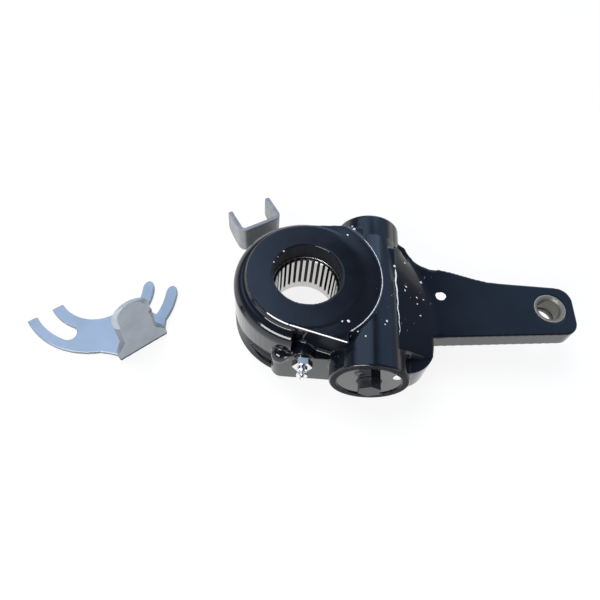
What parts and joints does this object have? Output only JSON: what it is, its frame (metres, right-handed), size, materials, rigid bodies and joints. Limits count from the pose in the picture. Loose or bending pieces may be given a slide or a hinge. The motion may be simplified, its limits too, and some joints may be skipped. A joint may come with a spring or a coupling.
{
  "type": "brake slack adjuster",
  "caption": "Self-setting brake slack adjuster: black lever casting with a splined worm wheel, worm, clutch, rack and forked control arm, and its loose sheet anchor bracket.",
  "frame": {"origin": "on the axis of the splined bore, at the height of the worm axis", "axes": "+X along the lever arm to the clevis bore, +Z along the spline axis, away from the control arm"},
  "size_m": [0.3369, 0.1335, 0.053],
  "materials": {
    "enamel": "glossy black enamel over a casting",
    "bush_steel": "bare steel, slightly stained",
    "cover_steel": "dark polished steel",
    "machined_steel": "broached and machined",
    "bronze": "bearing bronze",
    "rubber": "matt",
    "plated_steel": "bright plated",
    "zinc_sheet": "galvanised sheet",
    "bracket_zinc": "blue-white zinc plate"
  },
  "bodies": {
    "housing": {"housing": "enamel", "arm_bush": "bush_steel", "front_cover": "cover_steel", "front_bush": "bronze", "shaft_seal": "rubber", "rear_plug": "enamel", "rear_plug_seal": "rubber", "thrust_cage": "bronze", "thrust_rollers": "machined_steel", "thrust_race_rear": "machined_steel", "clutch_spring": "cover_steel", "bearing_ring": "bronze", "control_cover": "enamel", "cover_gasket": "rubber", "cover_screws": "cover_steel", "neck_seal": "rubber", "rack_plug": "enamel", "grease_nipple": "plated_steel", "nipple_ball": "plated_steel"},
    "wheel": {"worm_wheel": "machined_steel", "wheel_seal": "rubber"},
    "worm": {"worm_shaft": "machined_steel", "clutch_ring": "cover_steel", "thrust_race_front": "machined_steel"},
    "control": {"control_arm": "zinc_sheet", "control_disc": "zinc_sheet"},
    "rack": {"rack": "machined_steel"},
    "pinion": {"pinion": "machined_steel", "one_way_spring": "cover_steel"},
    "bracket": {"anchor_bracket": "bracket_zinc"}
  },
  "joints": [
    {"name": "wheel_turn", "type": "hinge", "parent": "housing", "child": "wheel", "pos_m": [0, 0, 0], "axis": [0, 0, 1], "continuous": true},
    {"name": "worm_turn", "type": "hinge", "parent": "housing", "child": "worm", "pos_m": [0.0392, 0, 0], "axis": [0, 1, 0], "continuous": true},
    {"name": "control_arm_turn", "type": "hinge", "parent": "housing", "child": "control", "pos_m": [0, 0, 0], "axis": [0, 0, 1], "range_deg": [-5, 10]},
    {"name": "rack_slide", "type": "slide", "parent": "housing", "child": "rack", "axis": [1, 0, 0], "range_m": [-0.00275, 0.0055]},
    {"name": "pinion_turn", "type": "hinge", "parent": "housing", "child": "pinion", "pos_m": [0.0392, 0, 0], "axis": [0, 1, 0], "range_deg": [-31.6, 15.8]},
    {"name": "bracket_lift", "type": "slide", "parent": "housing", "child": "bracket", "axis": [0, 0, 1], "range_m": [0, 0.06]}
  ],
  "couplings": [
    {"joint": "worm_turn", "follows": "wheel_turn", "ratio": -24},
    {"joint": "rack_slide", "follows": "control_arm_turn", "m_per_rad": 0.0315},
    {"joint": "pinion_turn", "follows": "control_arm_turn", "ratio": -3.15}
  ]
}
